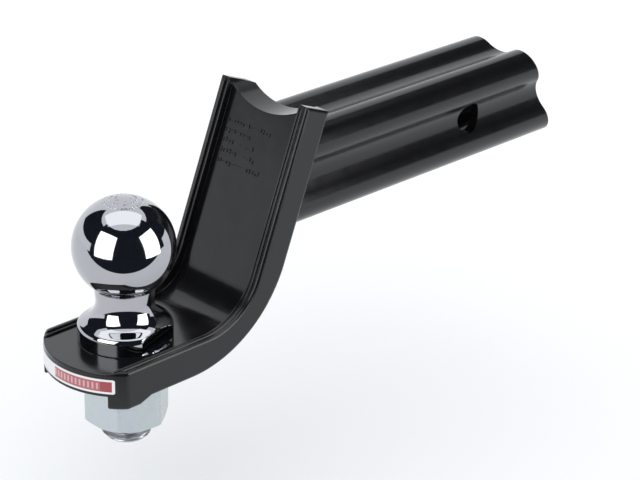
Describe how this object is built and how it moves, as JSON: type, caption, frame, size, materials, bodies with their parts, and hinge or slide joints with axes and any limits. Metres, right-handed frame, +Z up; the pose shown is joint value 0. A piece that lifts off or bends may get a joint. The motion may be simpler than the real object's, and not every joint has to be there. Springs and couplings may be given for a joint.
{
  "type": "trailer hitch with ball",
  "caption": "Drop ball mount for a square receiver: lobed hollow shank with a pin hole, welded forged drop plate, and a chromed ball held by a lock washer and nut.",
  "frame": {"origin": "centre of the pin hole, on the shank's axis", "axes": "+X along the shank towards the vehicle, +Y to its left along the pin hole, +Z up"},
  "size_m": [0.3304, 0.063, 0.1599],
  "materials": {
    "black_coat": "gloss black coat with a fine orange-peel texture over forged and rolled steel",
    "weld_coat": "gloss black coat over a rippled weld",
    "chrome": "polished chrome plate",
    "zinc": "pale bright zinc plate, satin",
    "label": "printed vinyl strip with a silver border and plain coloured blocks"
  },
  "bodies": {
    "ball_mount": {"shank": "black_coat", "drop_plate": "black_coat", "weld_bead": "weld_coat", "front_label": "label"},
    "ball": {"hitch_ball": "chrome"},
    "washer": {"lock_washer": "zinc"},
    "nut": {"hex_nut": "zinc"}
  },
  "joints": [
    {"name": "ball_lift", "type": "slide", "parent": "ball_mount", "child": "ball", "axis": [0, 0, 1], "range_m": [0, 0.056]},
    {"name": "nut_travel", "type": "slide", "parent": "ball_mount", "child": "washer", "axis": [0, 0, -1], "range_m": [0, 0.0356]},
    {"name": "nut_spin", "type": "hinge", "parent": "washer", "child": "nut", "pos_m": [-0.2234, 0, -0.09], "axis": [0, 0, -1], "range_deg": [0, 4032]}
  ],
  "couplings": [
    {"joint": "nut_travel", "follows": "nut_spin", "m_per_rad": 0.00050532}
  ]
}
